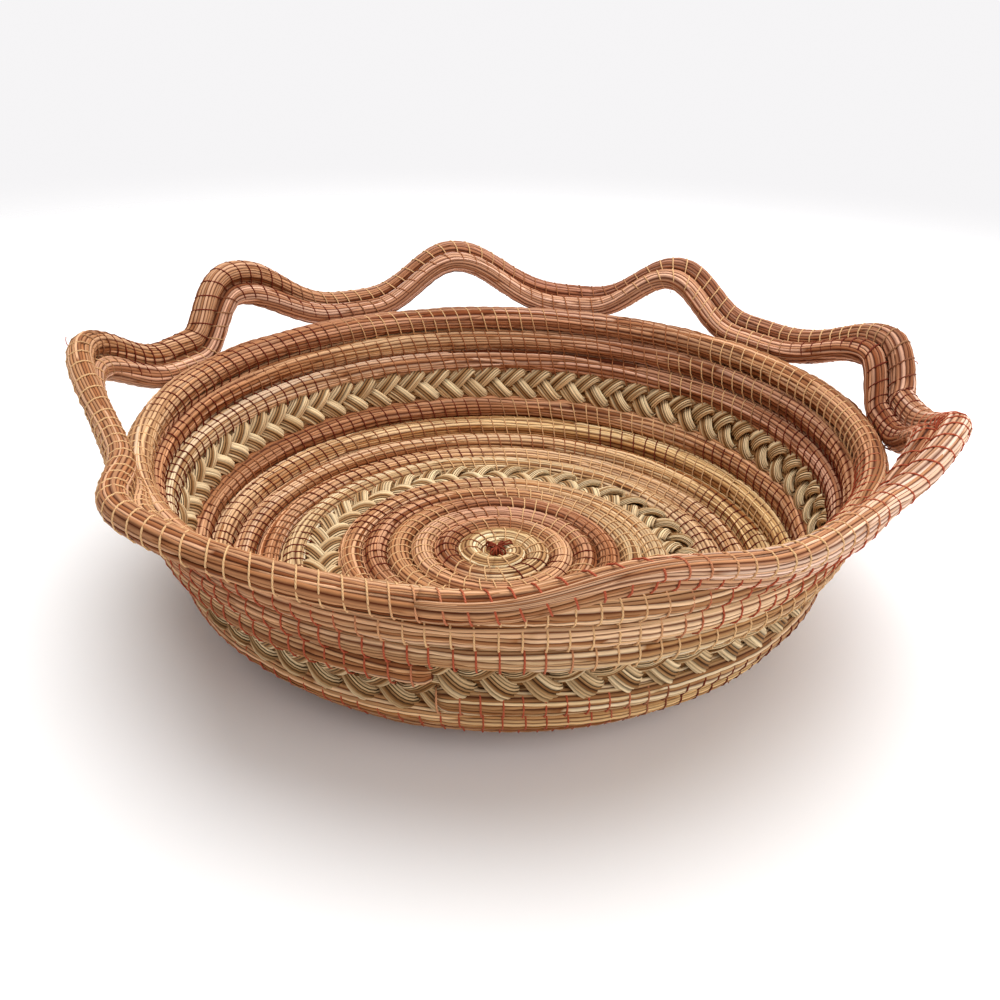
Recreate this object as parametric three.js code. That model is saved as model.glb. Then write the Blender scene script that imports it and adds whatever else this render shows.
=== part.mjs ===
import * as THREE from 'three';

// Pine needle basket. One bundle of needles is laid turn against turn from the middle out, clockwise
// seen from above. Two of the turns are three-strand braids and the last two rise in waves as a rim.
// Millimetres, +Z up, the floor is Z = 0 and the origin is under the start of the coil.

const rad = (degrees) => degrees * Math.PI / 180;

// Bundle and braid
const COIL_D = 8.6;            // needle bundle, flat to flat
const RIM_D = 8;               // the thinner bundle of the rim
const LAY_GAP = 0.45;          // clearance between neighbouring turns
const END_GAP = 0.5;           // clearance between the ends of two pieces that meet
const BRAID_W = 11.85;         // braid, edge to edge
const BRAID_T = 7.2;           // braid, through

// Turns, counted from the middle
const CENTRE_FROM = 1;
const BASE_FROM = 2;
const BASE_BRAID_FROM = 7;
const FLOOR_EDGE_FROM = 8;
const WALL_FOOT_FROM = 11;
const WALL_BRAID_FROM = 13;
const UPPER_WALL_FROM = 14;
const RIM_FROM = 17;
const START_BEARING = 262;     // degrees from +X, where every piece starts and ends

// Lean of each turn against the turn before, from flat
const BEND_FROM = 8.75;        // turn at which the floor begins to rise
const BEND_TO = 14.2;          // turn at which the wall runs straight
const WALL_LEAN = rad(72);
const RIM_BLEND = 0.15;        // part of a turn over which the rim leans out

// Rim waves, worked by hand and so uneven. A crest has a bearing in degrees, then its reach outward and
// its rise, both in rim bundles. A trough has a bearing and the lean, in degrees, of the lower rim coil
// against the wall there. A stack has a bearing and the lean of the upper rim coil against the lower one.
const CRESTS = [
  [9, 0.2, 1.9], [57, 0.25, 2.2], [100, 0.3, 2.3], [145, 0.4, 2.4],
  [183, 0.95, 1.8], [229, 1, 0.75], [285, 0.1, 1], [333, 0.5, 1.9],
];
const TROUGHS = [[39, 31], [76, 31], [120, 31], [158, 8], [208, 60], [262, 31], [313, 40], [358, 31]];
const STACKS = [
  [9, 38], [39, 25], [76, 25], [120, 22], [150, 80], [165, 55], [183, 75],
  [208, 85], [229, 40], [262, 31], [290, 40], [318, 65], [336, 36], [356, 52],
];
const CREST_PEAK = 1.7;        // above 1, a crest is narrower than a trough
const RIM_TAPER = 0.13;        // part of a turn over which the rim's end thins
const RIM_TIP = 0.25;          // its thickness at the tip, as a share of the bundle

// Fineness
const STEPS = 28;              // stations in one turn
const WAVE_STEPS = 10;         // stations in one rim wave
const SIDES = 8;               // sides of a bundle

const FLOOR_Z = 0;
const PITCH = COIL_D + LAY_GAP;
const FLAT_HALF = COIL_D / 2 * Math.tan(Math.PI / SIDES);

const smooth = (x) => {
  const u = Math.min(Math.max(x, 0), 1);
  return u * u * (3 - 2 * u);
};

const isBraid = (t) => {
  const turn = Math.floor(t);
  return turn === BASE_BRAID_FROM || turn === WALL_BRAID_FROM;
};

const width = (t) => {
  if (isBraid(t)) {
    return BRAID_W;
  }
  return t < RIM_FROM ? COIL_D : RIM_D;
};

const bearing = (t) => rad(START_BEARING) - 2 * Math.PI * t;
const bearingDegrees = (t) => START_BEARING - 360 * t;

// Value at a bearing in degrees, eased from one mark to the next round the rim
const between = (marks, degrees) => {
  const angleAfter = ([mark]) => ((mark - degrees) % 360 + 360) % 360;
  const angleBefore = ([mark]) => ((degrees - mark) % 360 + 360) % 360;
  const next = marks.reduce((a, b) => angleAfter(b) < angleAfter(a) ? b : a);
  const last = marks.reduce((a, b) => angleBefore(b) < angleBefore(a) ? b : a);
  const span = Math.max(angleBefore(last) + angleAfter(next), 1e-9);
  const share = (1 - Math.cos(Math.PI * angleBefore(last) / span)) / 2;
  return last[1] + (next[1] - last[1]) * share;
};

const lean = (t) => {
  const wall = WALL_LEAN * smooth((t - BEND_FROM) / (BEND_TO - BEND_FROM));
  const rim = rad(between(TROUGHS, bearingDegrees(t)));
  return wall + (rim - WALL_LEAN) * smooth((t - RIM_FROM) / RIM_BLEND);
};

// Neighbouring bundles are turned a little against each other in the bend, which takes extra room.
const reach = (t) => {
  const wedge = FLAT_HALF * Math.abs(lean(t + 1) - lean(t - 1)) / 2;
  return (width(t - 1) + width(t)) / 2 + LAY_GAP + wedge;
};

// Middle of the bundle at turn t as radius and height, laid against the turn before
const centre = (t) => {
  if (t < BASE_FROM) {
    return [PITCH * t, COIL_D / 2];
  }
  const [r, z] = centre(t - 1);
  return [r + reach(t) * Math.cos(lean(t)), z + reach(t) * Math.sin(lean(t))];
};

const radial = (t) => new THREE.Vector3(Math.cos(bearing(t)), Math.sin(bearing(t)), 0);
const UP = new THREE.Vector3(0, 0, 1);

const leaning = (t, angle) => radial(t).multiplyScalar(Math.cos(angle)).addScaledVector(UP, Math.sin(angle));

const place = (t) => {
  const [r, z] = centre(t);
  return radial(t).multiplyScalar(r).addScaledVector(UP, z);
};

// Point between two stations of one turn, on the straight from one to the next, so that all pieces nest
const onTurn = (t, from, to) => {
  const tiny = 1e-7;
  const low = Math.max(Math.floor(t * STEPS + tiny) / STEPS, from);
  const high = Math.min(low + 1 / STEPS, to - tiny);
  const share = Math.min((t - low) / Math.max(high - low, tiny), 1);
  return place(low).lerp(place(high), share);
};

const endShare = (t) => END_GAP / 2 / (2 * Math.PI * centre(t)[0]);

const stationTurns = (from, to, steps) => {
  const start = from + endShare(from);
  const end = to - endShare(to - 1e-6);
  const turns = [start];
  for (let i = Math.ceil(start * steps + 0.2); i < end * steps - 0.2; i += 1) {
    turns.push(i / steps);
  }
  turns.push(end);
  return turns;
};

// Closed tube through rings of points, the rings running counter-clockwise about the way along
const tube = (rings) => {
  const sides = rings[0].length;
  const positions = rings.flat().flatMap((p) => [p.x, p.y, p.z]);
  const index = [];
  for (let i = 0; i + 1 < rings.length; i += 1) {
    for (let k = 0; k < sides; k += 1) {
      const next = (k + 1) % sides;
      const a = i * sides + k;
      const b = i * sides + next;
      const c = a + sides;
      const d = b + sides;
      index.push(a, b, c, b, d, c);
    }
  }
  const last = (rings.length - 1) * sides;
  for (let k = 1; k + 1 < sides; k += 1) {
    index.push(0, k + 1, k);
    index.push(last, last + k, last + k + 1);
  }
  const geometry = new THREE.BufferGeometry();
  geometry.setAttribute('position', new THREE.Float32BufferAttribute(positions, 3));
  geometry.setIndex(index);
  geometry.computeVertexNormals();
  return geometry;
};

// Section of a bundle, cut flat where it stands on the floor
const bundleRing = (middle, across, over, half) => {
  const corner = half / Math.cos(Math.PI / SIDES);
  const ring = [];
  for (let k = 0; k < SIDES; k += 1) {
    const angle = (k + 0.5) * 2 * Math.PI / SIDES;
    const point = middle.clone()
      .addScaledVector(across, corner * Math.cos(angle))
      .addScaledVector(over, corner * Math.sin(angle));
    point.z = Math.max(point.z, FLOOR_Z);
    ring.push(point);
  }
  return ring;
};

// Least clearance of a piece to itself, between stations half a turn or more apart
const selfGap = (middles, turns) => {
  let least = Infinity;
  for (let i = 0; i < middles.length; i += 1) {
    for (let j = i + 1; j < middles.length; j += 1) {
      if (turns[j] - turns[i] > 0.5) {
        least = Math.min(least, middles[i].distanceTo(middles[j]) - COIL_D);
      }
    }
  }
  return least;
};

const coilGeometry = (name, from, to) => {
  const turns = stationTurns(from, to, STEPS);
  const middles = turns.map(place);
  const rings = turns.map((t, i) => {
    const angle = (lean(t) + lean(t + 1)) / 2;
    return bundleRing(middles[i], leaning(t, angle), leaning(t, angle + Math.PI / 2), COIL_D / 2);
  });
  if (to - from > 1) {
    console.log(`${name}: least gap to itself ${selfGap(middles, turns).toFixed(2)} mm`);
  }
  return tube(rings);
};

// A braid is a flat band here, with the outer shape that its three plaited strands fill
const braidGeometry = (from) => {
  const outline = [
    [1, 0.4], [0.62, 1], [-0.62, 1], [-1, 0.4],
    [-1, -0.4], [-0.62, -1], [0.62, -1], [1, -0.4],
  ];
  const rings = stationTurns(from, from + 1, STEPS).map((t) => {
    const angle = (lean(t) + lean(t + 1)) / 2;
    const across = leaning(t, angle);
    const over = leaning(t, angle + Math.PI / 2);
    const middle = place(t);
    return outline.map(([a, b]) => middle.clone()
      .addScaledVector(across, a * BRAID_W / 2)
      .addScaledVector(over, b * BRAID_T / 2));
  });
  return tube(rings);
};

// Offset of the rim at turn t from a rim without waves, outward and up
const waveOffset = (t) => {
  const still = TROUGHS.map(([mark]) => [mark, 0]);
  const eased = (crests) => between([...still, ...crests], bearingDegrees(t));
  const narrowed = RIM_D * eased(CRESTS.map(([mark]) => [mark, 1])) ** (CREST_PEAK - 1);
  const out = narrowed * eased(CRESTS.map(([mark, reachOut]) => [mark, reachOut]));
  const rise = narrowed * eased(CRESTS.map(([mark, , up]) => [mark, up]));
  return radial(t).multiplyScalar(out).addScaledVector(UP, rise);
};

const rimStations = () => {
  const from = RIM_FROM;
  const turns = stationTurns(from, from + 1, WAVE_STEPS * CRESTS.length);
  const middles = turns.map((t) => onTurn(t, from, from + 1).add(waveOffset(t)));
  return turns.map((t, i) => {
    const cut = i === 0 || i + 1 === middles.length;
    const along = cut ? radial(t).cross(UP) : middles[i + 1].clone().sub(middles[i - 1]).normalize();
    const toward = leaning(t, rad(between(STACKS, bearingDegrees(t))));
    const across = toward.addScaledVector(along, -along.dot(toward)).normalize();
    const over = along.clone().cross(across);
    return { t, middle: middles[i], across, over };
  });
};

const rimGeometry = (upper) => {
  const half = RIM_D / 2;
  const rings = rimStations().map(({ t, middle, across, over }) => {
    if (!upper) {
      return bundleRing(middle, across, over, half);
    }
    const left = (RIM_FROM + 1 - t) / RIM_TAPER;
    const own = half * (RIM_TIP + (1 - RIM_TIP) * smooth(left));
    const laid = middle.clone().addScaledVector(across, half + LAY_GAP + own);
    return bundleRing(laid, across, over, own);
  });
  return tube(rings);
};

// Start of the coil: a comma that fills the middle of the first turn, flat below
const startGeometry = () => {
  const bevel = COIL_D / 2 - FLAT_HALF;
  const layers = [[0, bevel], [bevel, 0], [COIL_D - bevel, 0], [COIL_D, bevel]];
  const rings = layers.map(([z, inset]) => {
    const ring = [];
    for (let i = STEPS - 1; i >= 0; i -= 1) {
      const t = CENTRE_FROM + i / STEPS;
      const r = PITCH * t - COIL_D / 2 - LAY_GAP - inset;
      ring.push(radial(t).multiplyScalar(r).addScaledVector(UP, z));
    }
    return ring;
  });
  return tube(rings);
};

const colours = {
  green: 0xc9b98c,
  russet: 0xb5764a,
  tan: 0xc79a6a,
  golden: 0xc08f55,
  brown: 0xa8694a,
  grass: 0xb7ab7c,
  thread: 0x7d3a2a,
};

const basket = new THREE.Group();
basket.name = 'pine_needle_basket';

const add = (name, geometry, colour) => {
  const material = new THREE.MeshStandardMaterial({ color: colours[colour], roughness: 0.7, metalness: 0 });
  const mesh = new THREE.Mesh(geometry, material);
  mesh.name = name;
  basket.add(mesh);
};

const addCoil = (name, from, to, colour) => add(name, coilGeometry(name, from, to), colour);

add('coil_start', startGeometry(), 'thread');
addCoil('centre_coil', CENTRE_FROM, BASE_FROM, 'green');
addCoil('base_coil', BASE_FROM, BASE_BRAID_FROM, 'russet');
add('base_braid', braidGeometry(BASE_BRAID_FROM), 'grass');
addCoil('floor_edge_coil', FLOOR_EDGE_FROM, WALL_FOOT_FROM, 'tan');
addCoil('wall_foot_coil', WALL_FOOT_FROM, WALL_BRAID_FROM, 'golden');
add('wall_braid', braidGeometry(WALL_BRAID_FROM), 'grass');
addCoil('upper_wall_coil', UPPER_WALL_FROM, RIM_FROM, 'brown');
add('rim_lower_coil', rimGeometry(false), 'russet');
add('rim_upper_coil', rimGeometry(true), 'tan');

export default basket;
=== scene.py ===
# %% [markdown]
# # Pine needle basket
# The basket is one bundle of long pine needles, laid turn against turn from the middle out and sewn to the
# turn before with a spotted thread. Two turns are grass braids, and the last two rise in waves as a rim.
# Nearly every piece is made straight here, as on a bench, and is then laid along its turns.

# %% Load the frame
import math
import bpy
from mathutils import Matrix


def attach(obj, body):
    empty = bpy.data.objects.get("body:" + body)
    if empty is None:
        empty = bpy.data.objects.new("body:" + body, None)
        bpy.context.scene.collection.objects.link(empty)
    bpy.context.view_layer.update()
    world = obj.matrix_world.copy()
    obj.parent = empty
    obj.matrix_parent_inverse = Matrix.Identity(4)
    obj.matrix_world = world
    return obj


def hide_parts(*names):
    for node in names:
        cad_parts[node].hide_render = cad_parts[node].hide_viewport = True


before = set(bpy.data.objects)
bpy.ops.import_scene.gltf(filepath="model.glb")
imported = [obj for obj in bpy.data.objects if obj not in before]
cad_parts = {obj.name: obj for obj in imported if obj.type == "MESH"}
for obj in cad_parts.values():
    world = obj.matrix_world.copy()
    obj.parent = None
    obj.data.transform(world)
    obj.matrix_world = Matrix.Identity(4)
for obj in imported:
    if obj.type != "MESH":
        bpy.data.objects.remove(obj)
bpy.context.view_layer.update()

from types import SimpleNamespace

import bpy
import numpy as np

MM = 0.001  # metres

# %% [markdown]
# ## The turns
# The coil could be drawn by hand as one long spiral curve, but the solids follow a rule, and the same rule
# keeps the looks where the solids are: each turn is laid against the turn before, at a lean that grows from
# flat on the floor to steep on the wall. Lengths here are in millimetres, and turns are counted from the
# middle.

# %% Sizes of the turns
COIL_D = 8.6  # needle bundle
RIM_D = 8.0  # the thinner bundle of the rim
LAY_GAP = 0.45  # room between neighbouring turns
BRAID_W = 11.85  # braid, edge to edge
BUNDLE_SIDES = 8  # sides of a bundle in the solids
START_BEARING = 262  # degrees from +X at which each piece starts
# The turn at which each piece starts
CENTRE_FROM = 1
BASE_FROM = 2
BASE_BRAID_FROM = 7
FLOOR_EDGE_FROM = 8
WALL_FOOT_FROM = 11
WALL_BRAID_FROM = 13
UPPER_WALL_FROM = 14
RIM_FROM = 17
BEND_FROM = 8.75  # turn at which the floor begins to rise
BEND_TO = 14.2  # turn at which the wall runs straight
WALL_LEAN = math.radians(72)
RIM_BLEND = 0.15  # part of a turn over which the rim leans out
# A crest has a bearing, then its reach outward and its rise in rim bundles. A trough has a bearing and the
# lean of the lower rim coil against the wall. A stack has a bearing and the lean of the upper rim coil on
# the lower.
CRESTS = [
    (9, 0.2, 1.9), (57, 0.25, 2.2), (100, 0.3, 2.3), (145, 0.4, 2.4),
    (183, 0.95, 1.8), (229, 1, 0.75), (285, 0.1, 1), (333, 0.5, 1.9),
]
TROUGHS = [(39, 31), (76, 31), (120, 31), (158, 8), (208, 60), (262, 31), (313, 40), (358, 31)]
STACKS = [
    (9, 38), (39, 25), (76, 25), (120, 22), (150, 80), (165, 55), (183, 75),
    (208, 85), (229, 40), (262, 31), (290, 40), (318, 65), (336, 36), (356, 52),
]
CREST_PEAK = 1.7  # above 1, a crest is narrower than a trough
RIM_TAPER = 0.13  # part of a turn over which the rim's end thins
RIM_TIP = 0.25  # its thickness at the tip, as a share of the bundle
RIM_ENDS = 0.936  # share of the turn after which the thin end is sewn down with the coil below it
PITCH = COIL_D + LAY_GAP
FLAT_HALF = COIL_D / 2 * math.tan(math.pi / BUNDLE_SIDES)

print("turns lie", round(PITCH, 2), "mm apart, with", len(CRESTS), "waves in the rim")


# %% Lay each turn against the turn before
def smooth(x):
    u = np.clip(x, 0, 1)
    return u * u * (3 - 2 * u)


def bearing(t):
    return math.radians(START_BEARING) - 2 * math.pi * np.asarray(t, float)


def width(t):
    turn = np.floor(t)
    coil = np.where(turn < RIM_FROM, COIL_D, RIM_D)
    return np.where((turn == BASE_BRAID_FROM) | (turn == WALL_BRAID_FROM), BRAID_W, coil)


def between(marks, degrees):
    """Value at a bearing, eased from one mark to the next round the rim."""
    ring = sorted(marks)
    ring = [(ring[-1][0] - 360, ring[-1][1])] + ring + [(ring[0][0] + 360, ring[0][1])]
    at, value = np.array(ring, float).T
    degrees = np.mod(degrees, 360)
    last = np.clip(np.searchsorted(at, degrees, side="right") - 1, 0, len(at) - 2)
    share = (1 - np.cos(np.pi * (degrees - at[last]) / (at[last + 1] - at[last]))) / 2
    return value[last] + (value[last + 1] - value[last]) * share


def lean(t):
    wall = WALL_LEAN * smooth((t - BEND_FROM) / (BEND_TO - BEND_FROM))
    rim = np.radians(between(TROUGHS, np.degrees(bearing(t))))
    return wall + (rim - WALL_LEAN) * smooth((t - RIM_FROM) / RIM_BLEND)


def reach(t):
    """From the middle of the turn before to the middle of turn t."""
    wedge = FLAT_HALF * np.abs(lean(t + 1) - lean(t - 1)) / 2
    return (width(t - 1) + width(t)) / 2 + LAY_GAP + wedge


def centre(t):
    """Radius and height of the middle of the bundle at turn t."""
    first = 1 + np.mod(t, 1)
    laid = np.round(t - first)
    radius = PITCH * np.minimum(first, t)
    height = np.full(len(t), COIL_D / 2)
    for k in range(1, int(laid.max()) + 1):
        on = laid >= k
        radius = radius + on * reach(first + k) * np.cos(lean(first + k))
        height = height + on * reach(first + k) * np.sin(lean(first + k))
    return radius, height


# %% [markdown]
# ## From the bench to the basket
# A Curve modifier can bend a straight piece along a curve, but it can't hold the lean at which each turn
# lies on the turn before. So a course is kept as points with two directions, toward the next turn and in to
# the bowl, and `lay` puts a straight piece on it: X runs along the course, Y toward the next turn and Z in
# to the bowl. A course also says how thick the bundle is along it and how much room it has to its
# neighbours.

# %% Courses, and laying a piece on one
def unit(vectors):
    return vectors / np.linalg.norm(vectors, axis=1, keepdims=True)


def out_and_up(t, out, up):
    angle = bearing(t)
    return np.stack([out * np.cos(angle), out * np.sin(angle), up * np.ones(len(t))], axis=1)


def course_through(t, spine, toward, inward):
    steps = np.linalg.norm(np.diff(spine, axis=0), axis=1)
    along = np.concatenate([[0], np.cumsum(steps)])
    return SimpleNamespace(
        t=t, spine=spine, toward=toward, inward=inward, along=along, length=float(along[-1]),
        thick=np.ones(len(t)), room_next=np.full(len(t), LAY_GAP), room_last=np.full(len(t), LAY_GAP),
        free=np.zeros(len(t)), sewn_on=np.zeros(len(t)))


def value_at(course, field, along):
    """One of a course's numbers, at places along it."""
    return np.interp(along, course.along, getattr(course, field))


def vector_at(course, field, along):
    """Its spine or one of its directions, at places along it."""
    vectors = getattr(course, field)
    return np.stack([np.interp(along, course.along, vectors[:, axis]) for axis in range(3)], axis=1)


def lay(bench, course):
    along = np.clip(bench[:, 0], 0, course.length)
    toward = bench[:, 1:2] * vector_at(course, "toward", along)
    inward = bench[:, 2:3] * vector_at(course, "inward", along)
    return vector_at(course, "spine", along) + toward + inward


# %% [markdown]
# ## Courses of the coils
# A needle bundle is soft and spreads into the room beside it, a little more where a braid lies there. The
# first curl starts thin, just across the middle, and spreads the more for it, so that no hole is left in
# the floor.

# %% Courses of the coils
COURSE_POINTS = 400  # points of a course to each turn
END_ROOM = 1e-4  # turns left free at both ends of a course
START_FROM = -0.1  # turn at which the first curl begins, just across the middle
START_THIN = 0.5  # its thickness there, as a share of the bundle
BRAID_ROOM = 0.9  # mm that a bundle spreads toward a braid


def room_before(t):
    """Room between turn t and the turn before."""
    return reach(t) - (width(t - 1) + width(t)) / 2


def coil_course(first, last):
    t = np.linspace(first + END_ROOM, last - END_ROOM, int(COURSE_POINTS * (last - first)) + 2)
    radius, height = centre(t)
    angle = (lean(t) + lean(t + 1)) / 2
    toward = out_and_up(t, np.cos(angle), np.sin(angle))
    inward = out_and_up(t, -np.sin(angle), np.cos(angle))
    course = course_through(t, out_and_up(t, radius, height), toward, inward)
    course.thick = START_THIN + (1 - START_THIN) * smooth((t - START_FROM) / (CENTRE_FROM - START_FROM))
    thinned = COIL_D * (1 / course.thick - 1)
    course.room_next = room_before(t + 1) + BRAID_ROOM * (width(t + 1) > COIL_D) + thinned
    course.room_last = room_before(t) + BRAID_ROOM * (width(t - 1) > COIL_D)
    return course


# %% [markdown]
# ## Courses of the rim
# The two coils of the rim rise in waves together. The lower one is free of the wall at each crest, and the
# upper one lies along it and thins away at its end. The rule leaves a small step where each of them starts,
# though the real bundle runs on from turn to turn, so `meet` bends the end of one course and the start of
# the next half way each.

# %% Courses of the rim
RIM_POINTS = 1200  # points of a course of the rim
FREE_RISE = 1.6  # mm above the wall at which the rim is free of it
MEET_OVER = 35  # mm over which the coils of the rim are bent to meet


def rim_course(upper):
    t = np.linspace(RIM_FROM + END_ROOM, RIM_FROM + 1 - END_ROOM, RIM_POINTS)
    degrees = np.degrees(bearing(t))
    still = [(mark, 0) for mark, _ in TROUGHS]
    narrowed = RIM_D * between(still + [(mark, 1) for mark, _, _ in CRESTS], degrees) ** (CREST_PEAK - 1)
    out = narrowed * between(still + [(mark, far) for mark, far, _ in CRESTS], degrees)
    rise = narrowed * between(still + [(mark, up) for mark, _, up in CRESTS], degrees)
    radius, height = centre(t)
    spine = out_and_up(t, radius + out, height + rise)
    travel = unit(np.gradient(spine, axis=0))
    stack = np.radians(between(STACKS, degrees))
    leaning = out_and_up(t, np.cos(stack), np.sin(stack))
    toward = unit(leaning - travel * np.sum(travel * leaning, axis=1, keepdims=True))
    inward = np.cross(travel, toward)
    slim = RIM_D / COIL_D
    thin = RIM_TIP + (1 - RIM_TIP) * smooth((RIM_FROM + 1 - t) / RIM_TAPER)
    if not upper:
        course = course_through(t, spine, toward, inward)
        course.sewn_on = (t > RIM_FROM + RIM_ENDS) * RIM_D * thin
        course.free = smooth(rise / FREE_RISE)
        course.room_last = room_before(t)
        course.thick = np.full(len(t), slim)
        return course
    laid = spine + toward * (RIM_D / 2 * (1 + thin) + LAY_GAP)[:, None]
    course = course_through(t + 1, laid, toward, inward)
    course.thick = slim * thin
    return course


def meet(before, after):
    """Bend the end of one course and the start of the next, so that the bundle goes on without a step."""
    near_end = (1 - smooth((before.length - before.along) / MEET_OVER)) / 2
    near_start = (1 - smooth(after.along / MEET_OVER)) / 2
    for field in ("spine", "toward", "inward"):
        step = getattr(after, field)[0] - getattr(before, field)[-1]
        setattr(before, field, getattr(before, field) + near_end[:, None] * step)
        setattr(after, field, getattr(after, field) - near_start[:, None] * step)
    step = after.thick[0] - before.thick[-1]
    before.thick = before.thick + near_end * step
    after.thick = after.thick - near_start * step


# %% Set out the courses
TUCK = 0.012  # turns by which the ends of a braid are tucked into the coils

COURSES = {
    "coil_start": coil_course(START_FROM, CENTRE_FROM),
    "centre_coil": coil_course(CENTRE_FROM, BASE_FROM),
    "base_coil": coil_course(BASE_FROM, BASE_BRAID_FROM),
    "base_braid": coil_course(BASE_BRAID_FROM - TUCK, FLOOR_EDGE_FROM + TUCK),
    "floor_edge_coil": coil_course(FLOOR_EDGE_FROM, WALL_FOOT_FROM),
    "wall_foot_coil": coil_course(WALL_FOOT_FROM, WALL_BRAID_FROM),
    "wall_braid": coil_course(WALL_BRAID_FROM - TUCK, UPPER_WALL_FROM + TUCK),
    "upper_wall_coil": coil_course(UPPER_WALL_FROM, RIM_FROM),
    "rim_lower_coil": rim_course(False),
    "rim_upper_coil": rim_course(True),
}
meet(COURSES["upper_wall_coil"], COURSES["rim_lower_coil"])
meet(COURSES["rim_lower_coil"], COURSES["rim_upper_coil"])
for node, course in COURSES.items():
    print(node, "is", round(course.length), "mm long")

# %% [markdown]
# ## The camera
# The view is from in front and above, close enough for the near rim to look large. The shift is the part of
# the frame by which the picture is off the lens axis, and the small roll is the tilt of the hand that held
# it.

# %% Set the camera
CAMERA_AWAY = 381.93
CAMERA_RISE = math.radians(30.918)
CAMERA_ROLL = math.radians(1.776)
CAMERA_AIM = (-1.284, 0.59, 0)
CAMERA_LENS = 35.5
CAMERA_SENSOR = 36
CAMERA_SHIFT = (0.0062, 0.0649)
CAMERA_NEAREST = 10  # nothing nearer is drawn

bpy.ops.object.select_all(action="DESELECT")
bpy.ops.object.camera_add()
camera = bpy.context.object
camera.name = "view_camera"
camera.data.sensor_width = CAMERA_SENSOR
camera.data.lens = CAMERA_LENS
camera.data.shift_x, camera.data.shift_y = CAMERA_SHIFT
camera.data.clip_start = CAMERA_NEAREST * MM
camera.location = (
    CAMERA_AIM[0] * MM,
    (CAMERA_AIM[1] - CAMERA_AWAY * math.cos(CAMERA_RISE)) * MM,
    (CAMERA_AIM[2] + CAMERA_AWAY * math.sin(CAMERA_RISE)) * MM,
)
camera.rotation_euler = (math.pi / 2 - CAMERA_RISE, 0, 0)
camera.rotation_euler.rotate_axis("Z", CAMERA_ROLL)
bpy.context.scene.camera = camera
print("camera at", [round(v, 3) for v in camera.location])


# %% [markdown]
# ## Writing finishes
# A finish is a small tree of nodes. `Wire` wraps one socket, so that sums and products of numbers read as
# they would on paper, and `Finish.node` adds any other node from its type, its settings and its inputs.

# %% Wires
class Wire:
    def __init__(self, finish, socket):
        self.finish = finish
        self.socket = socket

    def maths(self, operation, first, second):
        node = self.finish.node("ShaderNodeMath", {"operation": operation}, {0: first, 1: second})
        return node.out("Value")

    def __add__(self, other):
        return self.maths("ADD", self, other)

    def __mul__(self, other):
        return self.maths("MULTIPLY", self, other)

    __radd__ = __add__
    __rmul__ = __mul__


# %% Finishes
class Node:
    def __init__(self, finish, node):
        self.finish = finish
        self.node = node

    def out(self, name):
        return Wire(self.finish, self.node.outputs[name])


class Finish:
    def __init__(self, name):
        self.material = bpy.data.materials.new(name)
        self.material.use_nodes = True
        self.tree = self.material.node_tree
        self.tree.nodes.clear()

    def node(self, kind, settings=None, inputs=None):
        node = self.tree.nodes.new(kind)
        for name, value in (settings or {}).items():
            setattr(node, name, value)
        for name, value in (inputs or {}).items():
            if isinstance(value, Wire):
                self.tree.links.new(value.socket, node.inputs[name])
            else:
                node.inputs[name].default_value = value
        return Node(self, node)

    def dye_and_map(self):
        """The colours that a piece carries, and the map that runs along and round it."""
        dye = self.node("ShaderNodeAttribute", {"attribute_name": "dye"}).out("Color")
        return dye, self.node("ShaderNodeUVMap", {"uv_map": "lay"}).out("UV")

    def stretched(self, vector, along, across):
        inputs = {"Vector": vector, "Scale": (along, across, 1)}
        return self.node("ShaderNodeMapping", None, inputs).out("Vector")

    def scaled(self, colour, amount):
        inputs = {0: colour, "Scale": amount}
        return self.node("ShaderNodeVectorMath", {"operation": "SCALE"}, inputs).out("Vector")

    def bumped(self, height, strength, distance):
        inputs = {"Height": height, "Strength": strength, "Distance": distance}
        return self.node("ShaderNodeBump", None, inputs).out("Normal")

    def surface(self, inputs):
        shader = self.node("ShaderNodeBsdfPrincipled", None, inputs).out("BSDF")
        self.node("ShaderNodeOutputMaterial", None, {"Surface": shader})
        return self.material


# %% [markdown]
# ## Needles, grass and thread
# A dried needle is a thin, slightly shiny straw with darker streaks along it. Each piece carries its own
# colours in an attribute, `dye`, and a UV map, `lay`, that runs along and round the bundle, so the streaks
# follow the needles round every turn. Shorter, wider flecks lie over the streaks. Thread has the fine slant
# of its twist instead of streaks, with painted shade in the grooves between its plies.

# %% Needles and grass
FLECK_SHORTER = 6  # times that a fleck is shorter than a streak
FLECK_WIDER = 3  # times that it is wider
STREAK_PART = 1.4  # weight of the streaks in the shade
FLECK_PART = 0.6  # weight of the flecks
STREAK_BUMP = 0.0003  # metres
STRAW_SHINE = 0.06  # specular level


def streaked(name, along, across, streak, rough_low, rough_more, bump):
    finish = Finish(name)
    dye, lay_map = finish.dye_and_map()
    noise = finish.node("ShaderNodeTexNoise", {"noise_dimensions": "2D"}, {
        "Vector": finish.stretched(lay_map, along, across),
        "Scale": 1, "Detail": 3, "Roughness": 0.6}).out("Fac")
    fleck = finish.node("ShaderNodeTexNoise", {"noise_dimensions": "2D"}, {
        "Vector": finish.stretched(lay_map, along * FLECK_SHORTER, across / FLECK_WIDER),
        "Scale": 1, "Detail": 2, "Roughness": 0.5}).out("Fac")
    shade = (1 - streak) + noise * (STREAK_PART * streak) + fleck * (FLECK_PART * streak)
    return finish.surface({
        "Base Color": finish.scaled(dye, shade),
        "Roughness": rough_low + noise * rough_more,
        "Normal": finish.bumped(noise, bump, STREAK_BUMP),
        "Specular IOR Level": STRAW_SHINE,
    })


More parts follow.
